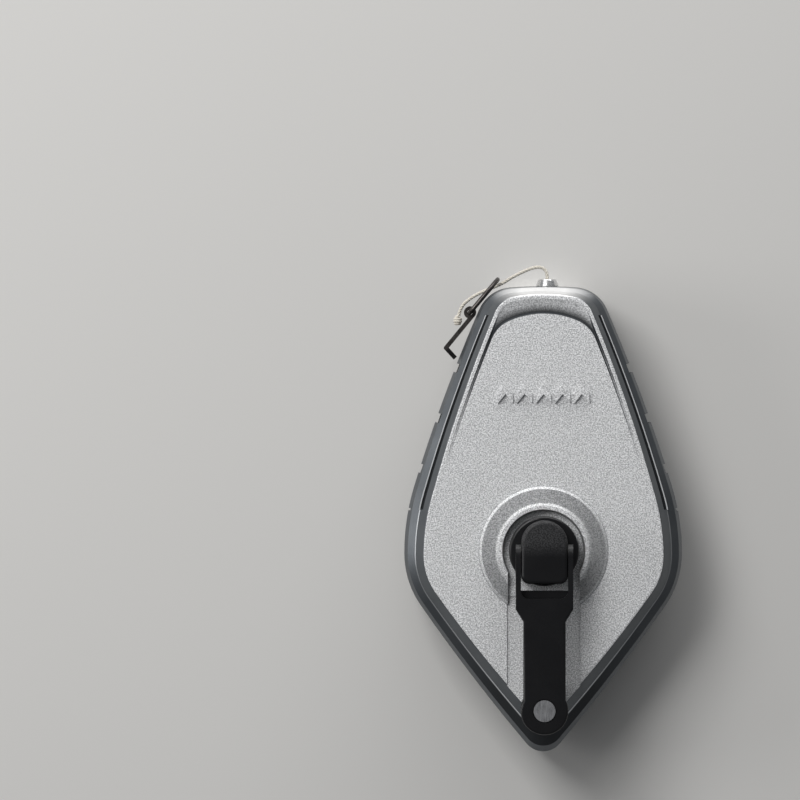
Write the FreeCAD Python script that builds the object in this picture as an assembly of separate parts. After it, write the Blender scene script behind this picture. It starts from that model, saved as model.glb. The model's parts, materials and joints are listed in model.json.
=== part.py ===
import FreeCAD
import Part
import math
import os

# Chalk line reel lying on its flat back: +Z is the way the crank faces, +Y runs to the nose, +X to the
# right, and the origin is where the spool's axis meets the rear face. All sizes are in millimetres.

V = FreeCAD.Vector
Z_AXIS = V(0, 0, 1)
Y_AXIS = V(0, 1, 0)
X_AXIS = V(1, 0, 0)

# ---- driving dimensions -------------------------------------------------------------------------
CASE_HALF_WIDTH = 38.7
NOSE_Y = 73.6
TIP_Y = -56.0
CASE_DEPTH = 31.0
WALL = 2.2
FACE_WALL = 2.4
SIDE_BAND = 15.0            # height of the upright part of the flank
SHOULDER_SHARE = 0.62       # how far in the bend of the flank lies between the side and the face
SHOULDER_RISE = 4.2

FACE_STEP = 1.0             # depth of the groove round the plateau
GROOVE_FADE_Y = 22.0        # the groove grows shallower from the nose and ends here
RIM_WIDTH = 0.7
PLATEAU_EDGE = 0.5
ARM_BED_DEPTH = 0.4         # shallow trough in the face under the arm, from the boss to the tip
ARM_BED_HALF_WIDTH = 10.2
FRONT_RIM = 0.6
REAR_RIM = 1.0
BOSS_RADIUS = 18.0
BOSS_TOP_RADIUS = 12.6
BOSS_HEIGHT = 3.0
BOSS_EDGE = 0.8             # width of the boss's rounded outer edge
BOSS_LIP = 0.7
BOSS_EDGE_SHARE = 0.35
BOWL_RADIUS = 11.6
CHANNEL_HALF_WIDTH = 10.0

DRUM_RADIUS = 8.0
DRUM_BORE = 3.6
FLANGE_RADIUS = 27.0
FLANGE_THICKNESS = 1.2
WINDING_RADIUS = 24.5
WINDING_WIDTH = 18.0
JOURNAL_RADIUS = 6.0
REAR_JOURNAL_RADIUS = 4.0
BUSHING_WALL = 2.0
RUN_CLEARANCE = 0.06
SIDE_CLEARANCE = 0.3

COLLAR_RADIUS = 9.7
HUB_HALF_WIDTH = 6.4
HUB_TOP = 8.6
HUB_BOTTOM = 8.9
HUB_RISE = 15.5             # from the face to the top of the crank hub
ARM_THICKNESS = 5.0
FORK_CLEARANCE = 0.12
FORK_CHEEK = 1.4
ARM_HALF_FORK = HUB_HALF_WIDTH + FORK_CLEARANCE + FORK_CHEEK
ARM_HALF_NECK = 5.85
ARM_GAP = 10.0              # from the face to the underside of the folded arm
CRANK_RADIUS = 44.0
PIN_RADIUS = 1.5
PIN_Y = -0.5
KNOB_RADIUS = 6.5
KNOB_FACE_GAP = 1.0
RIVET_RADIUS = 1.6

LINE_RADIUS = 0.5
OUTLET_X = 1.25
OUTLET_RADIUS = 2.7
OUTLET_RISE = 2.1

DOOR_LENGTH = 27.0
DOOR_HALF_WIDTH = 8.0
DOOR_THICKNESS = 1.6
DOOR_TRAVEL = 25.0
DOOR_CLEARANCE = 0.1
DOOR_LIP = 1.0              # how far each rail covers the edge of the door
WINDOW_LENGTH = 20.0
WINDOW_HALF_WIDTH = 5.6
TRACK_FLOOR = 1.5

HOOK_THICKNESS = 1.2
HOOK_WIDTH = 9.0
RING_WIRE = 0.65
RING_HALF_WIDTH = 6.8
RING_LENGTH = 12.0
RING_LEAN = math.radians(50)

SCREW_RADIUS = 1.3
SCREW_HEAD_RADIUS = 2.6
SCREW_HEAD_DEPTH = 1.7
POST_RADIUS = 3.3

# ---- derived places -----------------------------------------------------------------------------
PARTING = CASE_DEPTH / 2
FACE_Z = CASE_DEPTH
ARM_Z = FACE_Z + ARM_GAP
PIN_Z = ARM_Z + ARM_THICKNESS / 2
REEL_Z = (CASE_DEPTH - WINDING_WIDTH) / 2 - 0.2


def disc(x, y, radius):
    return V(x, y, 0), radius


def cylinder(radius, height, x=0, y=0, z=0, axis=Z_AXIS):
    return Part.makeCylinder(radius, height, V(x, y, z), axis)


def box(low, high):
    size = V(*high) - V(*low)
    return Part.makeBox(size.x, size.y, size.z, V(*low))


def tube(outer, inner, height, z, x=0, y=0):
    return cylinder(outer, height, x, y, z).cut(cylinder(inner, height, x, y, z))


def save(name, shape):
    shape = shape.removeSplitter()
    assert shape.isValid(), name
    shape.exportStep("parts/" + name + ".step")
    print(name, "solids", len(shape.Solids), "volume", round(shape.Volume, 1))


# ---- the teardrop outlines ----------------------------------------------------------------------
# Each outline is a run of arcs that touch without a kink: crown of the nose, nose corner, upper flank,
# upper and lower hip, lower flank, tip. The long arcs bridge two of the small ones.

SIDE_LINE = {"width": CASE_HALF_WIDTH, "nose": NOSE_Y, "tip": TIP_Y, "widest": -0.8, "crown": 126.0,
             "corner_x": 8.5, "corner": 10.1, "upper_flank": 475.0, "upper_hip": 64.0,
             "lower_hip": 25.3, "lower_flank": 530.0, "tip_round": 6.0}
FACE_LINE = {"width": CASE_HALF_WIDTH - 5.1, "nose": NOSE_Y - 2.2, "tip": TIP_Y + 9.0, "widest": -1.4,
             "crown": 49.5, "corner_x": 7.2, "corner": 7.1, "upper_flank": 428.0, "upper_hip": 60.8,
             "lower_hip": 18.0, "lower_flank": 360.0, "tip_round": 4.0}
PLATEAU_LINE = {"width": CASE_HALF_WIDTH - 6.3, "nose": NOSE_Y - 7.2, "tip": TIP_Y + 10.4, "widest": -1.4,
                "crown": 24.0, "corner_x": 6.0, "corner": 9.5, "upper_flank": 420.0, "upper_hip": 59.6,
                "lower_hip": 17.2, "lower_flank": 355.0, "tip_round": 3.4}
ROUND_SIZES = ("crown", "corner", "upper_flank", "upper_hip", "lower_hip", "lower_flank", "tip_round")


def between(first, second, share):
    return {key: first[key] + (second[key] - first[key]) * share for key in first}


def inset(line, depth):
    """The same outline moved inward by depth all round."""
    moved = dict(line)
    for key in ROUND_SIZES:
        moved[key] = line[key] - depth
    moved["width"] = line["width"] - depth
    moved["nose"] = line["nose"] - depth
    moved["tip"] = line["tip"] + depth
    return moved


def bridge(first, second, radius):
    """The large arc that touches two smaller discs from outside them, bulging away from the axis."""
    (start, start_radius), (end, end_radius) = first, second
    from_start = radius - start_radius
    from_end = radius - end_radius
    gap = (end - start).Length
    along = (from_start ** 2 - from_end ** 2 + gap ** 2) / (2 * gap)
    across = math.sqrt(from_start ** 2 - along ** 2)
    way = (end - start).normalize()
    inward = V(way.y, -way.x, 0)
    return start + way * along + inward * across, radius


def right_side_discs(line):
    crown = disc(0, line["nose"] - line["crown"], line["crown"])
    reach = line["crown"] - line["corner"]
    corner_y = crown[0].y + math.sqrt(reach ** 2 - line["corner_x"] ** 2)
    corner = disc(line["corner_x"], corner_y, line["corner"])
    upper_hip = disc(line["width"] - line["upper_hip"], line["widest"], line["upper_hip"])
    lower_hip = disc(line["width"] - line["lower_hip"], line["widest"], line["lower_hip"])
    tip = disc(0, line["tip"] + line["tip_round"], line["tip_round"])
    upper_flank = bridge(corner, upper_hip, line["upper_flank"])
    lower_flank = bridge(lower_hip, tip, line["lower_flank"])
    return [crown, corner, upper_flank, upper_hip, lower_hip, lower_flank, tip]


def touching_point(first, second):
    big, small = (first, second) if first[1] > second[1] else (second, first)
    return small[0] + (small[0] - big[0]).normalize() * small[1]


def outline(line, z):
    """The closed outline at height z, as one wire of arcs."""
    discs = right_side_discs(line)
    points = [V(0, line["nose"], 0)]
    points += [touching_point(a, b) for a, b in zip(discs, discs[1:])]
    points += [V(0, line["tip"], 0)]
    right = []
    for (centre, radius), start, end in zip(discs, points, points[1:]):
        middle = centre + ((start + end) / 2 - centre).normalize() * radius
        right.append((start, middle, end))
    left = [tuple(V(-p.x, p.y, 0) for p in reversed(arc)) for arc in reversed(right)]
    lift = V(0, 0, z)
    edges = [Part.Arc(*[p + lift for p in arc]).toShape() for arc in right + left]
    return Part.Wire(edges)


def slab(line, low, high):
    return Part.Face(outline(line, low)).extrude(V(0, 0, high - low))


def slope(low_line, low, high_line, high):
    return Part.makeLoft([outline(low_line, low), outline(high_line, high)], True, True)


# ---- case shells --------------------------------------------------------------------------------
HIP_SHARE = 0.3             # a step between band and shoulder keeps the flank round
HIP_RISE_SHARE = 0.6
SHOULDER_LINE = between(SIDE_LINE, FACE_LINE, SHOULDER_SHARE)
BAND_TOP = PARTING + SIDE_BAND / 2
STRIP_Z = FACE_Z - FACE_STEP


def rounded_rim(line, low, size, steps=3):
    """A slab as high as size whose rim curves inward as it rises, in a few straight slopes."""
    rings = []
    for step in range(steps + 1):
        angle = math.pi / 2 * step / steps
        rings.append((inset(line, size * (1 - math.cos(angle))), low + size * math.sin(angle)))
    pieces = [slope(a, a_z, b, b_z) for (a, a_z), (b, b_z) in zip(rings, rings[1:])]
    return pieces[0].fuse(pieces[1:])


def half_body(depth, floor, rim=0.0):
    """The upper half of the case, solid, moved in by depth and closed at the height floor."""
    side = inset(SIDE_LINE, depth)
    shoulder = inset(SHOULDER_LINE, depth)
    face = inset(FACE_LINE, depth)
    shoulder_z = BAND_TOP + SHOULDER_RISE - depth / 2
    hip = between(side, shoulder, HIP_SHARE)
    hip_z = BAND_TOP + HIP_RISE_SHARE * (shoulder_z - BAND_TOP)
    body = slab(side, PARTING, BAND_TOP)
    body = body.fuse(slope(side, BAND_TOP, hip, hip_z))
    body = body.fuse(slope(hip, hip_z, shoulder, shoulder_z))
    body = body.fuse(slope(shoulder, shoulder_z, face, floor - rim))
    return body.fuse(rounded_rim(face, floor - rim, rim)) if rim else body


SCREW_SPOTS = [(-10.2, NOSE_Y - 11.6), (10.2, NOSE_Y - 11.6), (-26.0, 23.5), (26.0, 23.5),
               (0.0, TIP_Y + 16.0)]
SEAL_IN = 0.7
SEAL_WIDTH = 0.8
SEAL_DEPTH = 0.5


def seal_ring(low, high):
    ring = slab(inset(SIDE_LINE, SEAL_IN), low, high)
    return ring.cut(slab(inset(SIDE_LINE, SEAL_IN + SEAL_WIDTH), low, high))


# The right flank in its own straight frame: along it towards the nose, out of it, and up.
FLANK_START = touching_point(right_side_discs(SIDE_LINE)[2], right_side_discs(SIDE_LINE)[3])
FLANK_END = touching_point(right_side_discs(SIDE_LINE)[1], right_side_discs(SIDE_LINE)[2])
FLANK_WAY = (FLANK_END - FLANK_START).normalize()
FLANK_OUT = V(FLANK_WAY.y, -FLANK_WAY.x, 0)
FLANK_LENGTH = (FLANK_END - FLANK_START).Length
TRACK_LENGTH = DOOR_LENGTH + DOOR_TRAVEL + 2 * DOOR_CLEARANCE
TRACK_START = (FLANK_LENGTH - TRACK_LENGTH) / 2 - 1.0
DOOR_START = TRACK_START + DOOR_TRAVEL + DOOR_CLEARANCE
DOOR_OUTER = -1.35          # the door's outer face, from the flank's straight line
DOOR_INNER = DOOR_OUTER - DOOR_THICKNESS
TRACK_IN = DOOR_INNER - DOOR_CLEARANCE
PAD_IN = TRACK_IN - TRACK_FLOOR
SEAL_UP = 0.5


def flank_box(along, out, up, side=1):
    """A box in the flank's frame, with up measured from the parting plane. side -1 is the left flank."""
    block = box((out[0], along[0], up[0]), (out[1], along[1], up[1]))
    turn = FreeCAD.Rotation(FLANK_OUT, FLANK_WAY, Z_AXIS, "ZXY")
    block.Placement = FreeCAD.Placement(FLANK_START + V(0, 0, PARTING), turn)
    return block if side > 0 else block.mirror(V(0, 0, 0), X_AXIS)


def door_pad():
    """The thicker wall that carries the door's track."""
    edge = DOOR_HALF_WIDTH + DOOR_CLEARANCE + 1.6
    return flank_box((TRACK_START - 2, TRACK_START + TRACK_LENGTH + 2), (PAD_IN, DOOR_OUTER), (-edge, edge))


def door_track():
    """What is cut for the door: the groove it slides in, the mouth over it and the filling window."""
    reach = (TRACK_START, TRACK_START + TRACK_LENGTH)
    groove_half = DOOR_HALF_WIDTH + DOOR_CLEARANCE
    groove = flank_box(reach, (TRACK_IN, DOOR_OUTER + DOOR_CLEARANCE), (-groove_half, groove_half))
    mouth_half = DOOR_HALF_WIDTH - DOOR_LIP
    mouth = flank_box(reach, (DOOR_OUTER, 5), (-mouth_half, mouth_half))
    middle = DOOR_START + DOOR_LENGTH / 2
    window_reach = (middle - WINDOW_LENGTH / 2, middle + WINDOW_LENGTH / 2)
    window = flank_box(window_reach, (PAD_IN - 5, DOOR_INNER), (-WINDOW_HALF_WIDTH, WINDOW_HALF_WIDTH))
    return groove.fuse(mouth).fuse(window).fuse(door_seal_room())


def door_seal_room():
    middle = DOOR_START + DOOR_LENGTH / 2
    half = WINDOW_LENGTH / 2 + 1.4
    up = WINDOW_HALF_WIDTH + 1.4
    room = flank_box((middle - half, middle + half), (TRACK_IN - SEAL_UP, TRACK_IN), (-up, up))
    inner = flank_box((middle - WINDOW_LENGTH / 2, middle + WINDOW_LENGTH / 2),
                      (TRACK_IN - SEAL_UP, TRACK_IN), (-WINDOW_HALF_WIDTH, WINDOW_HALF_WIDTH))
    return room.cut(inner)


NOTCH_SPOTS = (16.2, 31.1, 46.0)
NOTCH_LENGTH = 2.6
NOTCH_DEPTH = 0.3           # below the straight line between the flank's ends
BAND_END_Y = 11.4
BAND_START_Y = 65.5
BAND_GROOVE = 0.55
BAND_EDGE_SHARE = SHOULDER_SHARE - 0.02
BAND_BEAD_SHARE = 0.06       # width of the bead along the band's inner edge, as a share of the flank's slope
BAND_BEAD = 0.15
PARTING_GROOVE = 0.3


def skin(depth, low, high):
    """The outer layer of the sides, depth thick, between two heights."""
    return slab(SIDE_LINE, low, high).cut(slab(inset(SIDE_LINE, depth), low, high))


def band_cuts():
    """Grip notches across both flanks, the cross groove under them, the line along their inner edge, and
    the fine groove at the parting."""
    high = CASE_DEPTH / 2
    cuts = [skin(PARTING_GROOVE, PARTING - PARTING_GROOVE / 2, PARTING + PARTING_GROOVE / 2)]
    across = box((25, BAND_END_Y - 0.4, 0), (CASE_HALF_WIDTH + 3, BAND_END_Y + 0.4, CASE_DEPTH))
    cross_groove = skin(BAND_GROOVE, 0, CASE_DEPTH).common(across)
    cuts.append(cross_groove)
    cuts.append(cross_groove.mirror(V(0, 0, 0), X_AXIS))
    for side in (1, -1):
        for spot in NOTCH_SPOTS:
            reach = (FLANK_LENGTH - spot - NOTCH_LENGTH, FLANK_LENGTH - spot)
            cuts.append(flank_box(reach, (-NOTCH_DEPTH, 3), (-high, high), side))
    outer = between(SIDE_LINE, FACE_LINE, BAND_EDGE_SHARE)
    inner = between(SIDE_LINE, FACE_LINE, SHOULDER_SHARE + 0.14)
    line_top = BAND_TOP + SHOULDER_RISE - BAND_GROOVE
    line_cut = slab(outer, line_top, CASE_DEPTH).cut(slab(inner, line_top, CASE_DEPTH))
    line_cut = line_cut.common(box((-50, BAND_END_Y, 0), (50, BAND_START_Y, CASE_DEPTH)))
    cuts.append(line_cut)
    cuts.append(line_cut.mirror(V(0, 0, PARTING), Z_AXIS))
    return Part.makeCompound(cuts)


def band_beads():
    """The small bead along the inner edge of both bands, on the front half."""
    outer = between(SIDE_LINE, FACE_LINE, BAND_EDGE_SHARE - BAND_BEAD_SHARE)
    inner = between(SIDE_LINE, FACE_LINE, BAND_EDGE_SHARE + 0.01)
    top = BAND_TOP + SHOULDER_RISE
    bead = slab(outer, top - 1, top + BAND_BEAD).cut(slab(inner, top - 1, top + BAND_BEAD))
    half = CASE_HALF_WIDTH
    return bead.common(box((-half, BAND_END_Y, 0), (half, BAND_START_Y, CASE_DEPTH)))


def outlet_room():
    """The round seat in the nose for the ferrule, split by the parting plane."""
    start = NOSE_Y - WALL - 2
    seat = cylinder(OUTLET_RADIUS + 0.02, NOSE_Y - start + 1, OUTLET_X, start, PARTING, Y_AXIS)
    return seat


def outlet_block():
    """The thick block of the nose behind the outlet, level so that the ferrule's flange seats on it."""
    depth = (OUTLET_RADIUS + 3.2)
    low = NOSE_Y - WALL - 1.6
    block = box((OUTLET_X - depth, low, PARTING - depth), (OUTLET_X + depth, NOSE_Y - 0.6, PARTING + depth))
    return block.common(slab(SIDE_LINE, 0, CASE_DEPTH))


FRONT_BUSHING_RADIUS = JOURNAL_RADIUS + RUN_CLEARANCE + BUSHING_WALL
REAR_BUSHING_RADIUS = REAR_JOURNAL_RADIUS + RUN_CLEARANCE + BUSHING_WALL
BUSHING_FLANGE = 1.0
BOSS_FLOOR = FACE_Z + 0.4


def posts(low, high):
    rods = [cylinder(POST_RADIUS, high - low, x, y, low) for x, y in SCREW_SPOTS]
    return Part.makeCompound(rods)


def hollow(solid_half, cavity, low, high, keep_low, keep_high):
    """A shell with its screw posts, door pad and outlet block, cut for all that passes through it."""
    shell = solid_half.cut(cavity)
    inside = Part.makeCompound([posts(low, high), door_pad(), outlet_block()])
    keep = box((-60, -70, keep_low), (60, 90, keep_high))
    shell = shell.fuse(inside.common(solid_half).common(keep).Solids)
    shell = shell.cut(door_track()).cut(outlet_room()).cut(band_cuts())
    return shell.cut(seal_ring(PARTING - SEAL_DEPTH, PARTING + SEAL_DEPTH))


def arm_bed():
    """The shallow trough in the face that runs from the boss to the tip under the arm."""
    half = ARM_BED_HALF_WIDTH
    return box((-half, TIP_Y - 5, FACE_Z - ARM_BED_DEPTH), (half, -BOSS_TOP_RADIUS, FACE_Z + 1))


def face_groove():
    """The sunken strip between the rim and the plateau, deep at the nose and fading out along the sides."""
    strip = slope(PLATEAU_LINE, STRIP_Z, inset(FACE_LINE, FRONT_RIM + RIM_WIDTH), FACE_Z)
    strip = strip.cut(slope(PLATEAU_LINE, STRIP_Z, inset(PLATEAU_LINE, PLATEAU_EDGE), FACE_Z))
    half = CASE_HALF_WIDTH
    low = STRIP_Z - 0.1
    high = FACE_Z + 1
    deep_y = PLATEAU_LINE["nose"] + 1.5
    profile = [(deep_y, low), (NOSE_Y, low), (NOSE_Y, high), (GROOVE_FADE_Y, high),
               (GROOVE_FADE_Y, FACE_Z + 0.01), (deep_y, low)]
    corners = [V(-half, y, z) for y, z in profile]
    above = Part.Face(Part.makePolygon(corners)).extrude(V(2 * half, 0, 0))
    return strip.common(above)


def boss_body():
    """The boss round the crank: a rounded outer edge, a gentle terrace and a lip at the bowl."""
    radii = (BOSS_RADIUS, BOSS_RADIUS - BOSS_EDGE, BOSS_TOP_RADIUS + BOSS_LIP, BOSS_TOP_RADIUS)
    edge_rise = BOSS_HEIGHT * BOSS_EDGE_SHARE
    heights = (0, edge_rise, BOSS_HEIGHT - edge_rise, BOSS_HEIGHT)
    rings = list(zip(radii, heights))
    layers = [Part.makeCone(low_r, high_r, high_z - low_z, V(0, 0, FACE_Z + low_z))
              for (low_r, low_z), (high_r, high_z) in zip(rings, rings[1:])]
    bowl = Part.makeCone(BOWL_RADIUS - 0.6, BOWL_RADIUS, BOSS_HEIGHT, V(0, 0, FACE_Z))
    half = CHANNEL_HALF_WIDTH
    channel = box((-half, -BOSS_RADIUS - 1, FACE_Z), (half, 0, FACE_Z + BOSS_HEIGHT))
    return layers[0].fuse(layers[1:]).cut(bowl).cut(channel)


def front_case():
    body = half_body(0, FACE_Z, FRONT_RIM)
    body = body.cut(face_groove()).cut(arm_bed())
    body = body.fuse(boss_body().Solids).fuse(band_beads().Solids)
    floor = FACE_Z - FACE_WALL
    shell = hollow(body, half_body(WALL, floor), PARTING, floor + 0.5, PARTING, CASE_DEPTH)
    seat = FRONT_BUSHING_RADIUS
    rim = tube(seat + 2.0, seat, 1.4, floor - 1.4)
    shell = shell.fuse(rim).cut(cylinder(seat, 10, z=floor - 2))
    for x, y in SCREW_SPOTS:
        shell = shell.cut(cylinder(SCREW_RADIUS + 0.02, SCREW_REACH, x, y, PARTING))
    return shell


def rear_case():
    """The rear half mirrors the front one, with a plain face to lie on."""
    body = half_body(0, FACE_Z, REAR_RIM).fuse(band_beads().Solids).mirror(V(0, 0, PARTING), Z_AXIS)
    cavity = half_body(WALL, FACE_Z - FACE_WALL).mirror(V(0, 0, PARTING), Z_AXIS)
    shell = hollow(body, cavity, FACE_WALL - 0.5, PARTING, 0, PARTING)
    cup_top = REEL_Z - FLANGE_THICKNESS - SIDE_CLEARANCE
    cup = cylinder(REAR_BUSHING_RADIUS + 2.0, cup_top - BUSHING_FLANGE - FACE_WALL + 0.3, z=FACE_WALL - 0.3)
    shell = shell.fuse(cup).cut(cylinder(REAR_BUSHING_RADIUS, 10, z=FACE_WALL - 0.9))
    for x, y in SCREW_SPOTS:
        shell = shell.cut(cylinder(SCREW_RADIUS + 0.25, PARTING, x, y, 0))
        shell = shell.cut(cylinder(SCREW_HEAD_RADIUS + 0.3, SCREW_HEAD_DEPTH + 0.5, x, y, 0))
    return shell


SCREW_REACH = 9.0


def case_screws():
    screws = []
    for x, y in SCREW_SPOTS:
        base = SCREW_HEAD_DEPTH + 0.5
        head = cylinder(SCREW_HEAD_RADIUS, SCREW_HEAD_DEPTH, x, y, base - SCREW_HEAD_DEPTH)
        shank = cylinder(SCREW_RADIUS, PARTING + SCREW_REACH - 1 - base, x, y, base)
        slot = box((x - 0.3, y - 1.6, 0), (x + 0.3, y + 1.6, base - SCREW_HEAD_DEPTH + 0.7))
        cross = box((x - 1.6, y - 0.3, 0), (x + 1.6, y + 0.3, base - SCREW_HEAD_DEPTH + 0.7))
        screws.append(head.fuse(shank).cut(slot).cut(cross).removeSplitter())
    return Part.makeCompound(screws)


def case_seal():
    seal = seal_ring(PARTING - SEAL_DEPTH, PARTING + SEAL_DEPTH)
    return seal.cut(door_pad()).cut(door_track()).cut(outlet_room())


# ---- line outlet --------------------------------------------------------------------------------
LINE_HOLE = LINE_RADIUS + 0.25
FLANGE_Y = NOSE_Y - WALL - 1.6
OUTLET_TOP = NOSE_Y + OUTLET_RISE


def nozzle_ferrule():
    """A turned ferrule: a flange inside the nose, a neck through it and a cone outside."""
    flange = cylinder(OUTLET_RADIUS + 1.6, 1.4, OUTLET_X, FLANGE_Y - 1.4, PARTING, Y_AXIS)
    neck = cylinder(OUTLET_RADIUS, NOSE_Y - 0.2 - FLANGE_Y, OUTLET_X, FLANGE_Y, PARTING, Y_AXIS)
    cone = Part.makeCone(3.2, 2.45, OUTLET_RISE - 0.1, V(OUTLET_X, NOSE_Y + 0.1, PARTING), Y_AXIS)
    collar = cylinder(OUTLET_RADIUS, 0.3, OUTLET_X, NOSE_Y - 0.2, PARTING, Y_AXIS)
    body = flange.fuse([neck, collar, cone]).removeSplitter()
    top = [e for e in body.Edges if e.BoundBox.YMin > OUTLET_TOP - 0.05]
    body = body.makeFillet(0.6, top)
    bore = cylinder(LINE_HOLE, 12, OUTLET_X, FLANGE_Y - 3, PARTING, Y_AXIS)
    mouth = Part.makeCone(LINE_HOLE, 1.4, 1.0, V(OUTLET_X, OUTLET_TOP - 1.0, PARTING), Y_AXIS)
    return body.cut(bore).cut(mouth)


WIPER_LENGTH = 6.0
WIPER_HALF = 3.6
CLIP_WALL = 0.5
WIPER_TOP = FLANGE_Y - 1.4 - CLIP_WALL


def felt_wiper():
    pad = box((OUTLET_X - WIPER_HALF, WIPER_TOP - WIPER_LENGTH, PARTING - WIPER_HALF),
              (OUTLET_X + WIPER_HALF, WIPER_TOP, PARTING + WIPER_HALF))
    hole = cylinder(LINE_RADIUS + 0.05, WIPER_LENGTH, OUTLET_X, WIPER_TOP - WIPER_LENGTH, PARTING, Y_AXIS)
    return pad.cut(hole)


def wiper_clip():
    """A folded strip round the felt, holding it against the ferrule."""
    half = WIPER_HALF
    outer = box((OUTLET_X - half - CLIP_WALL, WIPER_TOP - WIPER_LENGTH - CLIP_WALL, PARTING - half),
                (OUTLET_X + half + CLIP_WALL, WIPER_TOP + CLIP_WALL, PARTING + half))
    inner = box((OUTLET_X - half, WIPER_TOP - WIPER_LENGTH, PARTING - half),
                (OUTLET_X + half, WIPER_TOP, PARTING + half))
    way = cylinder(LINE_HOLE + 0.3, 20, OUTLET_X, WIPER_TOP - 15, PARTING, Y_AXIS)
    return outer.cut(inner).cut(way)


# ---- reel ---------------------------------------------------------------------------------------
REEL_TOP = REEL_Z + WINDING_WIDTH
FRONT_FLANGE_TOP = REEL_TOP + FLANGE_THICKNESS
SPOOL_SEAT_Z = REEL_TOP - 3.0       # floor of the drum's bore, where the hub's screw pulls up
WASHER_THICKNESS = 0.5
SPOOL_HEAD_DEPTH = 1.6
SPOOL_SCREW_BITE = 5.0
COLLAR_Z = FACE_Z + 0.7
HUB_TOP_Z = FACE_Z + HUB_RISE
WOUND_GAP = 0.02


def spool_drum():
    """Drum, rear flange and both journals in one moulding, bored from the back for the hub's screw."""
    body = cylinder(DRUM_RADIUS, WINDING_WIDTH, z=REEL_Z)
    body = body.fuse(cylinder(FLANGE_RADIUS, FLANGE_THICKNESS, z=REEL_Z - FLANGE_THICKNESS))
    rear = REEL_Z - FLANGE_THICKNESS - FACE_WALL
    body = body.fuse(cylinder(REAR_JOURNAL_RADIUS, rear, z=FACE_WALL))
    body = body.fuse(cylinder(JOURNAL_RADIUS, COLLAR_Z - REEL_TOP, z=REEL_TOP))
    body = body.cut(cylinder(DRUM_BORE - 0.6, SPOOL_SEAT_Z - FACE_WALL, z=FACE_WALL))
    return body.cut(cylinder(SCREW_RADIUS + 0.3, COLLAR_Z - SPOOL_SEAT_Z + 2, z=SPOOL_SEAT_Z - 1))


def spool_flange():
    plate = tube(FLANGE_RADIUS, JOURNAL_RADIUS + 0.01, FLANGE_THICKNESS, REEL_TOP)
    for turn in range(5):
        angle = math.radians(72 * turn)
        reach = (DRUM_RADIUS + FLANGE_RADIUS) / 2
        plate = plate.cut(cylinder(3.0, 3, reach * math.cos(angle), reach * math.sin(angle), REEL_TOP - 1))
    return plate


def line_winding():
    """The wound line, a little fuller in the middle of the spool."""
    inner = DRUM_RADIUS + WOUND_GAP
    ends = [V(inner, 0, REEL_Z), V(inner, 0, REEL_TOP)]
    edge = WINDING_RADIUS - 0.8
    rim = [V(edge, 0, REEL_TOP), V(WINDING_RADIUS, 0, PARTING), V(edge, 0, REEL_Z)]
    edges = [Part.makeLine(*ends), Part.makeLine(ends[1], rim[0]), Part.Arc(*rim).toShape(),
             Part.makeLine(rim[2], ends[0])]
    return Part.Face(Part.Wire(edges)).revolve(V(0, 0, 0), Z_AXIS, 360)


def spool_screw():
    seat = SPOOL_SEAT_Z - WASHER_THICKNESS
    head = cylinder(SCREW_HEAD_RADIUS, SPOOL_HEAD_DEPTH, z=seat - SPOOL_HEAD_DEPTH)
    shank = cylinder(SCREW_RADIUS, COLLAR_Z + SPOOL_SCREW_BITE - seat, z=seat)
    return head.fuse(shank)


def spool_washer():
    return tube(2.8, SCREW_RADIUS + 0.1, WASHER_THICKNESS, SPOOL_SEAT_Z - WASHER_THICKNESS)


def front_bushing():
    top = BOSS_FLOOR
    floor = FACE_Z - FACE_WALL - 1.4
    body = tube(FRONT_BUSHING_RADIUS - 0.01, JOURNAL_RADIUS + RUN_CLEARANCE, top - floor, floor)
    low = floor - BUSHING_FLANGE
    return body.fuse(tube(FRONT_BUSHING_RADIUS + 1.6, JOURNAL_RADIUS + RUN_CLEARANCE, BUSHING_FLANGE, low))


def shaft_seal():
    """A felt ring on the journal between the spool and the bushing's flange."""
    low = FRONT_FLANGE_TOP + 0.2
    high = FACE_Z - FACE_WALL - 1.4 - BUSHING_FLANGE
    return tube(FRONT_BUSHING_RADIUS + 1.0, JOURNAL_RADIUS + 0.1, high - low, low)


def rear_bushing():
    low = FACE_WALL - 0.9
    top = REEL_Z - FLANGE_THICKNESS - SIDE_CLEARANCE
    inner = REAR_JOURNAL_RADIUS + RUN_CLEARANCE
    body = tube(REAR_BUSHING_RADIUS - 0.01, inner, top - low, low)
    return body.fuse(tube(REAR_BUSHING_RADIUS + 1.6, inner, BUSHING_FLANGE, top - BUSHING_FLANGE))


# ---- crank --------------------------------------------------------------------------------------
def crank_hub():
    """The drive head: a round collar on the face and a tall block that the arm's fork straddles."""
    collar = cylinder(COLLAR_RADIUS, 5.5, z=COLLAR_Z)
    ring = [e for e in collar.Edges if e.BoundBox.ZMin > COLLAR_Z + 5]
    collar = collar.makeFillet(0.8, ring)
    height = HUB_TOP_Z - COLLAR_Z
    top_round = cylinder(HUB_HALF_WIDTH, height, 0, HUB_TOP - HUB_HALF_WIDTH, COLLAR_Z)
    half = HUB_HALF_WIDTH
    block = box((-half, -HUB_BOTTOM, COLLAR_Z), (half, HUB_TOP - half, HUB_TOP_Z))
    corners = [e for e in block.Edges if e.BoundBox.YMax < -HUB_BOTTOM + 0.01 and e.BoundBox.ZLength > 1]
    block = block.makeFillet(2.2, corners)
    block = block.fuse(top_round).removeSplitter()
    rim = [e for e in block.Edges if e.BoundBox.ZMin > HUB_TOP_Z - 0.01]
    block = block.makeFillet(1.0, rim)
    body = block.fuse(collar)
    body = body.cut(cylinder(PIN_RADIUS + 0.02, 40, -20, PIN_Y, PIN_Z, X_AXIS))
    return body.cut(cylinder(SCREW_RADIUS + 0.02, 8, z=COLLAR_Z - 1))


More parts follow.
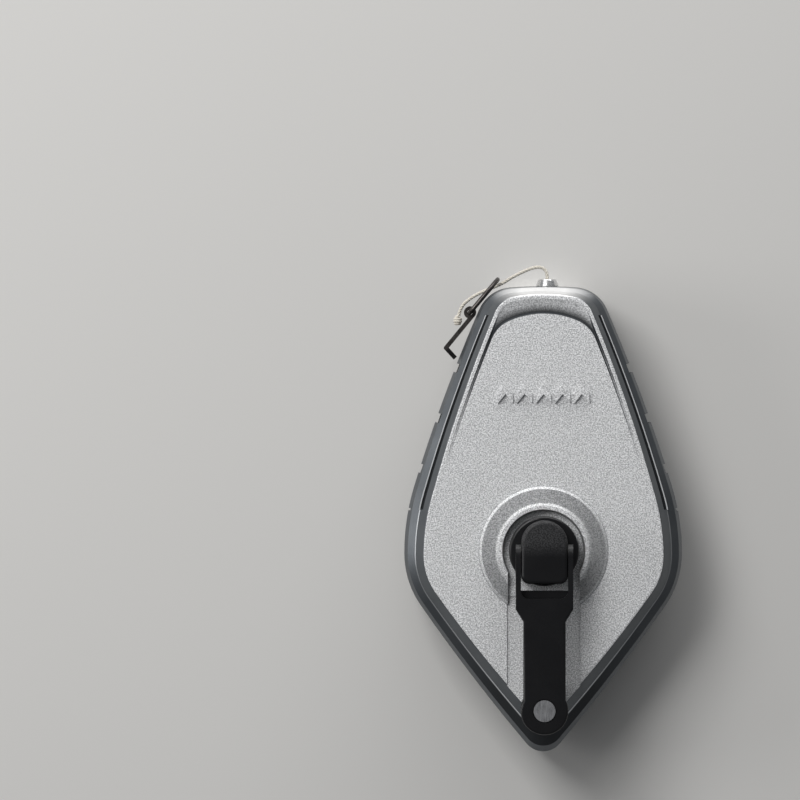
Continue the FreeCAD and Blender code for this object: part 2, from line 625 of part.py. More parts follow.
SLOT_BOTTOM = -13.0
WEB_EDGE = -10.8            # a thin web closes the slot's end, clear of the hub as the arm turns over it
WEB_THICKNESS = 1.6
WIDE_END = -16.0
NECK_START = -19.4
ARM_END_RADIUS = 6.6


def crank_arm():
    """A flat arm with a fork over the hub, sloped shoulders, a straight neck and a round end."""
    half = ARM_THICKNESS / 2
    neck = [V(ARM_HALF_FORK, PIN_Y, 0), V(ARM_HALF_FORK, WIDE_END, 0), V(ARM_HALF_NECK, NECK_START, 0),
            V(ARM_HALF_NECK, -CRANK_RADIUS, 0)]
    points = neck + [V(-p.x, p.y, 0) for p in reversed(neck)]
    plate = Part.Face(Part.makePolygon(points + points[:1])).extrude(V(0, 0, ARM_THICKNESS))
    plate.translate(V(0, 0, ARM_Z))
    plate = plate.fuse(cylinder(ARM_END_RADIUS, ARM_THICKNESS, 0, -CRANK_RADIUS, ARM_Z)).removeSplitter()
    rims = [e for e in plate.Edges if e.BoundBox.ZLength < 0.01 and e.BoundBox.YMax < PIN_Y - 0.5]
    plate = plate.makeFillet(0.7, rims)
    ends = cylinder(half, 2 * ARM_HALF_FORK, -ARM_HALF_FORK, PIN_Y, PIN_Z, X_AXIS)
    plate = plate.fuse(ends)
    inner = HUB_HALF_WIDTH + FORK_CLEARANCE
    slot = box((-inner, SLOT_BOTTOM, ARM_Z - 1), (inner, 6, ARM_Z + ARM_THICKNESS + 1))
    corners = [e for e in slot.Edges if e.BoundBox.YMax < SLOT_BOTTOM + 0.01 and e.BoundBox.ZLength > 1]
    plate = plate.cut(slot.makeFillet(2.2, corners))
    web_half = inner + 0.5
    web_top = ARM_Z + WEB_THICKNESS
    plate = plate.fuse(box((-web_half, SLOT_BOTTOM - 0.5, ARM_Z), (web_half, WEB_EDGE, web_top)))
    plate = plate.cut(cylinder(PIN_RADIUS + 0.05, 40, -20, PIN_Y, PIN_Z, X_AXIS))
    recess = cylinder(RIVET_HEAD + 0.3, 0.8, 0, -CRANK_RADIUS, ARM_Z + ARM_THICKNESS - 0.8)
    return plate.cut(recess).cut(cylinder(RIVET_RADIUS + 0.02, 20, 0, -CRANK_RADIUS, ARM_Z - 5))


def hub_pin():
    """A rivet pin through the fork and the hub, with a low head at each end."""
    reach = ARM_HALF_FORK - 0.1
    return cylinder(PIN_RADIUS, 2 * reach, -reach, PIN_Y, PIN_Z, X_AXIS)


RIVET_HEAD = 3.0
KNOB_GAP = 0.25
KNOB_END = FACE_Z + KNOB_FACE_GAP
KNOB_TOP = ARM_Z - KNOB_GAP


def knob_rivet():
    """The knob's axle: a flat head in the arm, a shank, and a head inside the knob's end."""
    top = ARM_Z + ARM_THICKNESS
    head = cylinder(RIVET_HEAD, 0.7, 0, -CRANK_RADIUS, top - 0.8)
    foot = KNOB_END + 0.5
    shank = cylinder(RIVET_RADIUS, top - 0.8 - foot, 0, -CRANK_RADIUS, foot)
    return head.fuse(shank).fuse(cylinder(RIVET_HEAD, 0.8, 0, -CRANK_RADIUS, foot))


def crank_knob():
    """A low mushroom: a narrow neck at the arm and a wide rounded grip at its free end."""
    height = KNOB_TOP - KNOB_END
    grip = cylinder(KNOB_RADIUS, height * 0.62, 0, -CRANK_RADIUS, KNOB_END)
    grip = grip.makeFillet(1.5, [e for e in grip.Edges if e.BoundBox.ZLength < 0.01])
    neck = Part.makeCone(KNOB_RADIUS * 0.62, KNOB_RADIUS * 0.8, height * 0.5,
                         V(0, -CRANK_RADIUS, KNOB_TOP - height * 0.5), Z_AXIS)
    body = grip.fuse(neck)
    body = body.cut(cylinder(RIVET_RADIUS + 0.06, 20, 0, -CRANK_RADIUS, KNOB_END - 1))
    return body.cut(cylinder(RIVET_HEAD + 0.3, 1.6, 0, -CRANK_RADIUS, KNOB_END))


# ---- chalk door ---------------------------------------------------------------------------------
def chalk_door():
    """A flat sliding door with two thumb ribs and a raised arrow that shows which way it opens."""
    reach = (DOOR_START, DOOR_START + DOOR_LENGTH)
    half = DOOR_HALF_WIDTH - 0.05
    plate = flank_box(reach, (DOOR_INNER, DOOR_OUTER), (-half, half))
    corners = [e for e in plate.Edges if abs(e.tangentAt(e.FirstParameter).dot(FLANK_OUT)) > 0.99]
    plate = plate.makeFillet(2.0, corners)
    grip = DOOR_HALF_WIDTH - DOOR_LIP - 1.6
    for share in (0.62, 0.80):
        along = DOOR_START + DOOR_LENGTH * share
        rib = flank_box((along - 0.8, along + 0.8), (DOOR_OUTER - 0.1, DOOR_OUTER + 1.1), (-grip, grip))
        plate = plate.fuse(rib)
    tip = DOOR_START + DOOR_LENGTH * 0.16
    base = DOOR_START + DOOR_LENGTH * 0.44
    corners = [(tip, 0), (base, grip - 1), (base, 1 - grip)]
    points = [FLANK_START + FLANK_WAY * a + FLANK_OUT * DOOR_OUTER + V(0, 0, PARTING + u) for a, u in corners]
    arrow = Part.Face(Part.makePolygon(points + points[:1])).extrude(FLANK_OUT * 0.5)
    return plate.fuse(arrow)


def door_seal():
    return door_seal_room()


# ---- line, hook and ring ------------------------------------------------------------------------
LEAD_BEND_Y = WIPER_TOP - WIPER_LENGTH - 3.0
LEAD_RADIUS = WINDING_RADIUS + LINE_RADIUS + 0.1
THROAT_START = WIPER_TOP - 1.0
SPAN_START = OUTLET_TOP + 0.3
THROAT_END = SPAN_START - 2.2 * LINE_RADIUS    # leaves room for the outer line to turn about its start


def tube_along(points, radius, radii=None):
    """A round cord along straight runs joined by tangent arcs, each as large as its runs allow."""
    ends = [points[0]]
    arcs = []
    for i in range(1, len(points) - 1):
        back = points[i - 1] - points[i]
        ahead = points[i + 1] - points[i]
        turn = math.pi - back.getAngle(ahead)
        short = min(back.Length, ahead.Length)
        bend = 0.45 * short / math.tan(turn / 2)
        if radii and radii.get(i):
            bend = min(bend, radii[i])
        print("  bend radius", round(bend, 2), "turn", round(math.degrees(turn), 1))
        cut = bend * math.tan(turn / 2)
        first = points[i] + V(back).normalize() * cut
        last = points[i] + V(ahead).normalize() * cut
        inward = (V(back).normalize() + V(ahead).normalize()).normalize()
        centre = points[i] + inward * (bend / math.cos(turn / 2))
        middle = centre + (points[i] - centre).normalize() * bend
        arcs.append((first, middle, last))
    edges = []
    here = ends[0]
    for first, middle, last in arcs:
        edges.append(Part.makeLine(here, first))
        edges.append(Part.Arc(first, middle, last).toShape())
        here = last
    edges.append(Part.makeLine(here, points[-1]))
    path = Part.Wire(edges)
    start_way = (points[1] - points[0]).normalize()
    section = Part.Wire(Part.makeCircle(radius, points[0], start_way))
    body = path.makePipeShell([section], True, True)
    expected = math.pi * radius ** 2 * path.Length
    print("  length", round(path.Length, 2), "volume ratio", round(body.Volume / expected, 4))
    return body


def line_lead():
    """The stretch from the winding to the wiper, tangent to the wound line."""
    bend = V(OUTLET_X, LEAD_BEND_Y, PARTING)
    reach = math.hypot(bend.x, bend.y)
    angle = math.atan2(bend.y, bend.x) - math.acos(LEAD_RADIUS / reach)
    start = V(LEAD_RADIUS * math.cos(angle), LEAD_RADIUS * math.sin(angle), PARTING)
    return tube_along([start, bend, V(OUTLET_X, THROAT_START, PARTING)], LINE_RADIUS, {1: 6.0})


def line_throat():
    """The stretch inside the ferrule, which slides out as the line is pulled."""
    return cylinder(LINE_RADIUS, THROAT_END - THROAT_START, OUTLET_X, THROAT_START, PARTING, Y_AXIS)


# The outer line bends over the ferrule's lip, passes the nose corner inside the ring, and runs over the
# hook's eye to the knot.
NOSE_CORNER = V(-SIDE_LINE["corner_x"], right_side_discs(SIDE_LINE)[1][0].y, PARTING)
EYE_RADIUS = 1.7
EYE_BORE = RING_WIRE + 0.1
EYE_GAP = 0.45
EYE_TURN = math.radians(5.2)     # how far past square to the flank the eye sits on the nose's corner
EYE_PLACE = math.atan2(FLANK_OUT.y, -FLANK_OUT.x) + EYE_TURN
EYE_REACH = SIDE_LINE["corner"] + EYE_RADIUS + EYE_GAP
EYE = NOSE_CORNER + V(math.cos(EYE_PLACE), math.sin(EYE_PLACE), 0) * EYE_REACH
SPAN_ROUTE = [V(OUTLET_X, SPAN_START, PARTING), V(OUTLET_X, NOSE_Y + 4.4, PARTING),
              V(OUTLET_X - 2.05, NOSE_Y + 5.7, PARTING), V(OUTLET_X - 5.25, NOSE_Y + 4.9, PARTING),
              EYE + V(12.1, 10.1, 0), EYE + V(8.7, 7.9, 0), EYE + V(4.3, 6.2, 0),
              EYE + V(0.4, 4.3, 0), EYE + V(-2.7, 1.6, 0), EYE + V(-3.2, -1.0, 0)]
LEFT_DOWN = V(FLANK_WAY.x, -FLANK_WAY.y, 0)
LEFT_OUT = V(-FLANK_OUT.x, FLANK_OUT.y, 0)
HOOK_BEND = EYE + LEFT_DOWN * 11.6 + LEFT_OUT * 2.9
CLAW_TIP = EYE + LEFT_DOWN * 13.4 - LEFT_OUT * 0.55


KNOT_RADIUS = 1.25
KNOT_LENGTH = 2.6


def line_span():
    return tube_along(SPAN_ROUTE, LINE_RADIUS)


def line_knot():
    """The tied knot just past the end of the line, three turns and a stub of cut line."""
    way = (SPAN_ROUTE[-1] - SPAN_ROUTE[-2]).normalize()
    body = Part.makeCylinder(KNOT_RADIUS, KNOT_LENGTH, SPAN_ROUTE[-1], way)
    return body.makeFillet(0.5, [e for e in body.Edges if e.Length > 6])


def end_hook():
    """A bent steel strip with a rolled eye at its upper end, a line hole and a pointed claw."""
    way = (HOOK_BEND - EYE).normalize()
    out = V(way.y, -way.x, 0)
    if out.x > 0:
        out = out * -1
    base = EYE - out * (EYE_RADIUS - HOOK_THICKNESS / 2)
    plate_way = (HOOK_BEND - base).normalize()
    claw_way = (CLAW_TIP - HOOK_BEND).normalize()
    strip = strip_between(base, HOOK_BEND, HOOK_WIDTH, HOOK_WIDTH)
    claw = strip_between(HOOK_BEND, CLAW_TIP, HOOK_WIDTH, HOOK_WIDTH * 0.4)
    knuckle = cylinder(HOOK_THICKNESS / 2, HOOK_WIDTH, HOOK_BEND.x, HOOK_BEND.y, PARTING - HOOK_WIDTH / 2)
    eye = cylinder(EYE_RADIUS, HOOK_WIDTH, EYE.x, EYE.y, PARTING - HOOK_WIDTH / 2)
    body = strip.fuse([claw, knuckle, eye]).removeSplitter()
    body = body.cut(cylinder(EYE_BORE, HOOK_WIDTH + 2, EYE.x, EYE.y, PARTING - HOOK_WIDTH / 2 - 1))
    return body


def strip_between(start, end, start_width, end_width):
    """A flat strip of the hook's thickness that runs from start to end and may narrow on the way."""
    way = (end - start).normalize()
    out = V(way.y, -way.x, 0) * (HOOK_THICKNESS / 2)
    rise = V(0, 0, 1)
    corners = [start - rise * (start_width / 2), start + rise * (start_width / 2),
               end + rise * (end_width / 2), end - rise * (end_width / 2)]
    corners = [p - out for p in corners]
    return Part.Face(Part.makePolygon(corners + corners[:1])).extrude(out * 2)


def anchor_ring():
    """A wire loop whose straight bar turns in the hook's eye; it lies along the shoulder of the nose."""
    way = V(math.cos(RING_LEAN), math.sin(RING_LEAN), 0)
    bend = 2 * RING_WIRE
    corner = EYE + V(0, 0, RING_HALF_WIDTH)
    bar_end = corner - V(0, 0, bend)
    side_start = corner + way * bend
    diagonal = bend * (1 - math.sqrt(0.5))
    corner_middle = corner + way * diagonal - V(0, 0, diagonal)
    bow_centre = EYE + way * (RING_LENGTH - RING_HALF_WIDTH)
    side_end = bow_centre + V(0, 0, RING_HALF_WIDTH)
    bow_middle = bow_centre + (way + Z_AXIS).normalize() * RING_HALF_WIDTH
    top = EYE + way * RING_LENGTH
    edges = [Part.makeLine(EYE, bar_end), Part.Arc(bar_end, corner_middle, side_start).toShape(),
             Part.makeLine(side_start, side_end), Part.Arc(side_end, bow_middle, top).toShape()]
    section = Part.Wire(Part.makeCircle(RING_WIRE, EYE, Z_AXIS))
    half = Part.Wire(edges).makePipeShell([section], True, False)
    return half.fuse(half.mirror(EYE, Z_AXIS))


PARTS = {
    "front_case": front_case, "rear_case": rear_case, "case_screws": case_screws, "case_seal": case_seal,
    "nozzle_ferrule": nozzle_ferrule, "felt_wiper": felt_wiper, "wiper_clip": wiper_clip,
    "front_bushing": front_bushing, "rear_bushing": rear_bushing, "shaft_seal": shaft_seal,
    "spool_drum": spool_drum, "spool_flange": spool_flange, "line_winding": line_winding,
    "spool_screw": spool_screw, "spool_washer": spool_washer, "crank_hub": crank_hub, "hub_pin": hub_pin,
    "crank_arm": crank_arm, "knob_rivet": knob_rivet, "crank_knob": crank_knob, "chalk_door": chalk_door,
    "door_seal": door_seal, "line_lead": line_lead, "line_throat": line_throat, "line_span": line_span,
    "line_knot": line_knot, "end_hook": end_hook, "anchor_ring": anchor_ring,
}

os.makedirs("parts", exist_ok=True)
for name, make in PARTS.items():
    save(name, make())
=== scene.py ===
import bpy
import bmesh
import json
import math
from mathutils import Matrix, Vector


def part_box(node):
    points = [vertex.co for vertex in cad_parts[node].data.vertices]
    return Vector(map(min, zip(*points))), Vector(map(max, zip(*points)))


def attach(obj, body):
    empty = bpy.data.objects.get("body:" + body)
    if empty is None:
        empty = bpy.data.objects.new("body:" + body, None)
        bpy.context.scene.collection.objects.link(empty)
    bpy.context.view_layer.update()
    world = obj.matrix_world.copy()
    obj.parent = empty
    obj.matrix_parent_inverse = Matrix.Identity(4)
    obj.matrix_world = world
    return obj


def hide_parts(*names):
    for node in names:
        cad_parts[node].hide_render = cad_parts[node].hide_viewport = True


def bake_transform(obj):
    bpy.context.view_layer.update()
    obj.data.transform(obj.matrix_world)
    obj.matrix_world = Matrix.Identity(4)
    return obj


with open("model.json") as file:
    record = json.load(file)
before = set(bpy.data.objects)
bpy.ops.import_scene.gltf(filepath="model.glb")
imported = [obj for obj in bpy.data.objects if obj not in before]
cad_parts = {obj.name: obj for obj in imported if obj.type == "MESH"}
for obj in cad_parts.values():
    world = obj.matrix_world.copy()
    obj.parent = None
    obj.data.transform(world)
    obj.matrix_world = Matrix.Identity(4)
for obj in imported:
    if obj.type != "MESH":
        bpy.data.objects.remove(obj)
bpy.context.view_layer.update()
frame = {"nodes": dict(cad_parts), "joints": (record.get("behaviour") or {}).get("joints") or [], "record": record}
record = frame["record"]
MM = 0.001

# ---- places read from the frame -----------------------------------------------------------------
joints = {j["name"]: j for j in frame["joints"]}
rear_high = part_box("rear_case")[1]
PARTING = rear_high.z
NOSE_Y = rear_high.y
FACE_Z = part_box("spool_drum")[1].z - 0.7 * MM
PIVOT = Vector(joints["hook_swing"]["pos_m"])
EYE = Vector(joints["ring_swing"]["pos_m"])
OUTLET_X = PIVOT.x
HUB_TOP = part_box("crank_hub")[1].z

# ---- camera -------------------------------------------------------------------------------------
# The reel is seen straight from above, nose up, to the right of the middle of a 222 mm wide view.
VIEW_WIDTH = 222.2 * MM
VIEW_CENTRE = Vector((-39.9 * MM, 41.9 * MM, 0))
CAMERA_DISTANCE = 2.4
SENSOR = 36.0


def add_camera():
    data = bpy.data.cameras.new("camera")
    data.sensor_width = SENSOR
    data.lens = SENSOR * (CAMERA_DISTANCE - FACE_Z) / VIEW_WIDTH
    data.clip_start = 0.1
    data.clip_end = 20
    camera = bpy.data.objects.new("camera", data)
    bpy.context.collection.objects.link(camera)
    camera.location = VIEW_CENTRE + Vector((0, 0, CAMERA_DISTANCE))
    bpy.context.scene.camera = camera


# ---- material tools -----------------------------------------------------------------------------
def new_material(name, color, roughness, metallic=0.0):
    material = bpy.data.materials.new(name)
    material.use_nodes = True
    shader = material.node_tree.nodes["Principled BSDF"]
    shader.inputs["Base Color"].default_value = (*color, 1)
    shader.inputs["Roughness"].default_value = roughness
    shader.inputs["Metallic"].default_value = metallic
    return material


def add_node(material, kind, **values):
    node = material.node_tree.nodes.new(kind)
    for key, value in values.items():
        if key in node.inputs:
            node.inputs[key].default_value = value
        else:
            setattr(node, key, value)
    return node


def link(material, source, target):
    material.node_tree.links.new(source, target)


def object_coordinates(material):
    return add_node(material, "ShaderNodeTexCoord").outputs["Object"]


def noise(material, grain, detail=2.0, rough=0.5, where=None):
    """Noise whose spots are about grain metres across."""
    node = add_node(material, "ShaderNodeTexNoise", Scale=1 / grain, Detail=detail, Roughness=rough)
    link(material, where or object_coordinates(material), node.inputs["Vector"])
    return node.outputs["Fac"]


def ramp(material, value, low, high, first, last):
    """value mapped from low..high onto first..last, which are numbers."""
    node = add_node(material, "ShaderNodeMapRange")
    node.inputs["From Min"].default_value = low
    node.inputs["From Max"].default_value = high
    node.inputs["To Min"].default_value = first
    node.inputs["To Max"].default_value = last
    link(material, value, node.inputs["Value"])
    return node.outputs["Result"]


def mix_colors(material, share, first, last):
    node = add_node(material, "ShaderNodeMix", data_type="RGBA")
    for socket, value in ((node.inputs[6], first), (node.inputs[7], last)):
        if hasattr(value, "links"):
            link(material, value, socket)
        else:
            socket.default_value = (*value, 1)
    link(material, share, node.inputs[0])
    return node.outputs[2]


def arithmetic(material, operation, first, last):
    node = add_node(material, "ShaderNodeMath", operation=operation)
    for socket, value in zip(node.inputs, (first, last)):
        if hasattr(value, "links"):
            link(material, value, socket)
        else:
            socket.default_value = value
    return node.outputs[0]


def bump(material, height, strength, distance, below=None):
    node = add_node(material, "ShaderNodeBump", Strength=strength, Distance=distance)
    link(material, height, node.inputs["Height"])
    if below:
        link(material, below, node.inputs["Normal"])
    return node.outputs["Normal"]


def feed(material, socket, value):
    link(material, value, material.node_tree.nodes["Principled BSDF"].inputs[socket])


# ---- materials ----------------------------------------------------------------------------------
SAND_COLOR = (0.93, 0.932, 0.935)
SAND_DARK = (0.47, 0.473, 0.477)
# painted highlight on the nose edge, where the top light would catch it
NOSE_PAINTED_HIGHLIGHT = (0.95, 0.95, 0.95)
# painted shade on the boss's terrace, with the sand grain still showing through
TERRACE_PAINTED_SHADE = (0.46, 0.463, 0.467)
TERRACE_PAINTED_SHADE_DARK = (0.24, 0.243, 0.247)
# flanks: painted shade over the same aluminium as the faces, with paler random patches
FLANK_PAINTED_SHADE = (0.105, 0.115, 0.125)
FLANK_PAINTED_SHADE_PALE = (0.13, 0.14, 0.15)
# painted shade at the bottom of the face's grooves
GROOVE_PAINTED_SHADE = (0.09, 0.093, 0.096)
# painted highlight on the bead and painted shade in the groove along the side bands
BEAD_PAINTED_HIGHLIGHT = (0.85, 0.86, 0.87)
BAND_GROOVE_PAINTED_SHADE = (0.05, 0.053, 0.056)
BAND_RISE = 11.7 * MM       # height of the side bands' inner edge over the parting plane
GRAIN = 0.36 * MM
GROOVE_DEPTH = 0.95 * MM


FLAT_FROM = 0.78            # upward share of the normal where the sand texture starts
FLAT_TO = 0.84
FACE_BAND = (2.0 * MM, 1.4 * MM)            # the sand starts between these depths below the face
TERRACE_START = (0.95 * MM, 1.1 * MM)       # the boss's terrace begins between these heights over the face
TERRACE_END = (1.85 * MM, 2.1 * MM)         # and ends between these
NOSE_HIGHLIGHT_X = (6 * MM, 15 * MM)            # the painted highlight on the nose edge fades this far from the middle
NOSE_HIGHLIGHT_Y = (5 * MM, 2 * MM)             # and between these distances from the nose
NOSE_HIGHLIGHT_RISE = (8 * MM, 10 * MM)


def product(material, first, second):
    return arithmetic(material, "MULTIPLY", first, second)


def sand_or_dark(material, sand, dark, light):
    return mix_colors(material, ramp(material, sand, 0.41, 0.59, 0, 1), dark, light)


def face_color(material, sand, sandy, rise, half):
    """Sand on the face, with painted shade on the boss's terrace and at the bottom of the grooves."""
    terrace = product(material, ramp(material, rise, half + TERRACE_START[0], half + TERRACE_START[1], 0, 1),
                      ramp(material, rise, half + TERRACE_END[0], half + TERRACE_END[1], 1, 0))
    # where painted shade fills the deeper part of the grooves
    groove_shade_mask = ramp(material, rise, half - GROOVE_DEPTH, half - 0.45 * GROOVE_DEPTH, 1, 0)
    plain = sand_or_dark(material, sand, SAND_DARK, SAND_COLOR)
    # painted shade over the terrace, keeping the sand's grain
    terrace_painted_shade = sand_or_dark(material, sand, TERRACE_PAINTED_SHADE_DARK, TERRACE_PAINTED_SHADE)
    color = mix_colors(material, terrace, plain, terrace_painted_shade)
    return mix_colors(material, product(material, groove_shade_mask, sandy), color, GROOVE_PAINTED_SHADE)


def flank_color(material, place, spot, rise, on_band):
    """Satin flanks in painted shade, a painted highlight at the nose and on the bead along the band, painted shade
    in the band's groove.
    """
    patches = noise(material, 9 * MM, 2, 0.5, place)
    # flank tone: painted shade, mixed with random paler patches
    color = mix_colors(material, ramp(material, patches, 0.35, 0.7, 0, 1), FLANK_PAINTED_SHADE, FLANK_PAINTED_SHADE_PALE)
    across = arithmetic(material, "ABSOLUTE", spot.outputs["X"], 0)
    near_middle = ramp(material, across, *NOSE_HIGHLIGHT_X, 1, 0)
    near_nose = ramp(material, spot.outputs["Y"], NOSE_Y - NOSE_HIGHLIGHT_Y[0], NOSE_Y - NOSE_HIGHLIGHT_Y[1], 0, 1)
    # painted highlight on the nose, where the top light would catch it
    nose_highlight_mask = product(material, product(material, near_middle, near_nose),
                      ramp(material, rise, *NOSE_HIGHLIGHT_RISE, 0, 1))
    color = mix_colors(material, nose_highlight_mask, color, NOSE_PAINTED_HIGHLIGHT)
    # painted highlight on the band's bead, painted shade in its groove
    bead = ramp(material, rise, BAND_RISE - 0.25 * MM, BAND_RISE - 0.1 * MM, 0, 1)
    band = mix_colors(material, bead, BAND_GROOVE_PAINTED_SHADE, BEAD_PAINTED_HIGHLIGHT)
    return mix_colors(material, on_band, color, band)


def case_metal():
    """Cast aluminium: sand-textured on the two faces and the boss, satin on the flanks; painted shade on the
    flanks, the boss's terrace and the groove bottoms, painted highlights at the nose and on the bands' bead.
    """
    material = new_material("case_metal", SAND_COLOR, 0.45, 0.75)
    coordinates = add_node(material, "ShaderNodeTexCoord")
    place = coordinates.outputs["Object"]
    normal = add_node(material, "ShaderNodeSeparateXYZ")
    link(material, coordinates.outputs["Normal"], normal.inputs[0])
    spot = add_node(material, "ShaderNodeSeparateXYZ")
    link(material, place, spot.inputs[0])
    upright = arithmetic(material, "ABSOLUTE", normal.outputs["Z"], 0)
    flat = ramp(material, upright, FLAT_FROM, FLAT_TO, 0, 1)
    rise = arithmetic(material, "ABSOLUTE", arithmetic(material, "SUBTRACT", spot.outputs["Z"], PARTING), 0)
    half = FACE_Z - PARTING
    on_face = ramp(material, rise, half - FACE_BAND[0], half - FACE_BAND[1], 0, 1)
    over_face = ramp(material, rise, half + 0.05 * MM, half + 0.15 * MM, 0, 1)
    sandy = arithmetic(material, "MAXIMUM", product(material, flat, on_face), over_face)
    on_band = arithmetic(material, "MAXIMUM", arithmetic(material, "SUBTRACT", flat, sandy), 0.0)
    sand = noise(material, GRAIN, 3, 0.7, place)
    fine = noise(material, 0.18 * MM, 1, 0.5, place)
    # side holds the flank colour with its painted shade and painted highlights
    side = flank_color(material, place, spot, rise, on_band)
    face = face_color(material, sand, sandy, rise, half)
    feed(material, "Base Color", mix_colors(material, sandy, side, face))
    both = add_node(material, "ShaderNodeMix")
    link(material, sandy, both.inputs[0])
    link(material, ramp(material, fine, 0.3, 0.7, 0.34, 0.44), both.inputs[2])
    link(material, ramp(material, sand, 0.35, 0.7, 0.78, 0.56), both.inputs[3])
    feed(material, "Roughness", both.outputs[0])
    height = product(material, sand, sandy)
    fine_bump = bump(material, fine, 0.12, 0.02 * MM)
    feed(material, "Normal", bump(material, height, 0.8, 0.22 * MM, fine_bump))
    return material


def door_metal():
    material = new_material("door_metal", (0.42, 0.43, 0.44), 0.42, 0.85)
    grain = noise(material, 0.3 * MM, 2, 0.6)
    feed(material, "Roughness", ramp(material, grain, 0.3, 0.7, 0.36, 0.5))
    feed(material, "Normal", bump(material, grain, 0.25, 0.05 * MM))
    feed(material, "Base Color", mix_colors(material, grain, (0.38, 0.39, 0.40), (0.48, 0.49, 0.50)))
    return material


def black_plastic():
    """Moulded black nylon: a spark-eroded grain over the hub's crown, nearly plain and glossier elsewhere."""
    material = new_material("black_plastic", (0.006, 0.006, 0.007), 0.3)
    material.node_tree.nodes["Principled BSDF"].inputs["Specular IOR Level"].default_value = 0.3
    place = object_coordinates(material)
    spot = add_node(material, "ShaderNodeSeparateXYZ")
    link(material, place, spot.inputs[0])
    upper_half = ramp(material, spot.outputs["Y"], -1.5 * MM, 2.5 * MM, 0, 1)
    on_top = ramp(material, spot.outputs["Z"], HUB_TOP - 3 * MM, HUB_TOP - 1 * MM, 0, 1)
    grainy = arithmetic(material, "MULTIPLY", upper_half, on_top)
    grain = noise(material, 0.35 * MM, 3, 0.6, place)
    cloud = noise(material, 6 * MM, 2, 0.5, place)
    speckle = arithmetic(material, "MULTIPLY", ramp(material, grain, 0.42, 0.66, 0, 1), grainy)
    plain = mix_colors(material, grain, (0.004, 0.004, 0.0045), (0.009, 0.009, 0.010))
    feed(material, "Base Color", mix_colors(material, speckle, plain, (0.05, 0.05, 0.052)))
    rough = arithmetic(material, "ADD", ramp(material, cloud, 0.3, 0.7, 0.24, 0.32),
                       arithmetic(material, "MULTIPLY", grainy, 0.22))
    feed(material, "Roughness", rough)
    depth = arithmetic(material, "MULTIPLY", grain, ramp(material, grainy, 0, 1, 0.2, 1))
    feed(material, "Normal", bump(material, depth, 0.45, 0.07 * MM))
    return material


def spool_plastic():
    material = new_material("spool_plastic", (0.04, 0.09, 0.28), 0.45)
    grain = noise(material, 0.8 * MM, 2, 0.5)
    feed(material, "Base Color", mix_colors(material, grain, (0.03, 0.07, 0.22), (0.05, 0.11, 0.32)))
    feed(material, "Normal", bump(material, grain, 0.2, 0.04 * MM))
    return material


def brushed(name, color, roughness, streak_axis="Y", dirt=0.25):
    """Metal with fine streaks along one axis and slightly uneven gloss."""
    material = new_material(name, color, roughness, 1.0)
    mapping = add_node(material, "ShaderNodeMapping")
    scale = {"X": (0.06, 1, 1), "Y": (1, 0.06, 1), "Z": (1, 1, 0.06)}[streak_axis]
    mapping.inputs["Scale"].default_value = scale
    link(material, object_coordinates(material), mapping.inputs["Vector"])
    streaks = noise(material, 0.12 * MM, 2, 0.6, mapping.outputs[0])
    spots = noise(material, 2.2 * MM, 4, 0.65)
    dark = tuple(c * (1 - dirt) for c in color)
    feed(material, "Base Color", mix_colors(material, ramp(material, spots, 0.35, 0.65, 0, 1), dark, color))
    feed(material, "Roughness", ramp(material, streaks, 0.3, 0.7, roughness - 0.08, roughness + 0.12))
    feed(material, "Normal", bump(material, streaks, 0.2, 0.02 * MM))
    return material


def fuzzy(name, first, last, grain):
    material = new_material(name, first, 0.95)
    spots = noise(material, grain, 5, 0.75)
    feed(material, "Base Color", mix_colors(material, spots, first, last))
    feed(material, "Normal", bump(material, spots, 0.8, 0.2 * MM))
    material.node_tree.nodes["Principled BSDF"].inputs["Sheen Weight"].default_value = 0.3
    return material


def cord_material():
    """Twisted cotton line, off-white, its fibre tone varying at random, with painted shade in the hollows between
    the fibres.
    """
    material = new_material("cord", (0.70, 0.67, 0.60), 0.9)
    fibres = noise(material, 0.22 * MM, 4, 0.7)
    # fibre tone with painted shade in the hollows, where the bump is low
    feed(material, "Base Color", mix_colors(material, ramp(material, fibres, 0.3, 0.7, 0, 1),
                                            (0.42, 0.38, 0.31), (0.80, 0.77, 0.70)))
    feed(material, "Normal", bump(material, fibres, 0.6, 0.08 * MM))
    material.node_tree.nodes["Principled BSDF"].inputs["Sheen Weight"].default_value = 0.25
    return material


def seal_rubber():
    material = new_material("seal_rubber", (0.02, 0.02, 0.02), 0.7)
    grain = noise(material, 0.5 * MM, 3, 0.6)
    feed(material, "Roughness", ramp(material, grain, 0.3, 0.7, 0.6, 0.8))
    feed(material, "Normal", bump(material, grain, 0.3, 0.05 * MM))
    return material


def make_materials():
    return {
        "case_metal": case_metal(),
        "door_metal": door_metal(),
        "black_plastic": black_plastic(),
        "spool_plastic": spool_plastic(),
        "bright_metal": brushed("bright_metal", (0.86, 0.86, 0.86), 0.24, "Z", 0.1),
        "steel": brushed("steel", (0.56, 0.56, 0.57), 0.3, "Y", 0.2),
        "dark_steel": brushed("dark_steel", (0.11, 0.10, 0.095), 0.34, "Y", 0.5),
        "brass": brushed("brass", (0.62, 0.45, 0.22), 0.3, "Z", 0.2),
        "seal_rubber": seal_rubber(),
        "felt": fuzzy("felt", (0.40, 0.37, 0.31), (0.62, 0.58, 0.50), 0.5 * MM),
        "cord": cord_material(),
    }


# ---- mesh tools ---------------------------------------------------------------------------------
def add_object(name, mesh, slot_name, materials):
    piece = bpy.data.objects.new(name, mesh)
    bpy.context.collection.objects.link(piece)
    mesh.materials.clear()
    mesh.materials.append(materials[slot_name])
    return piece


def smooth(mesh, angle=35):
    for polygon in mesh.polygons:
        polygon.use_smooth = True
    mesh.set_sharp_from_angle(angle=math.radians(angle))


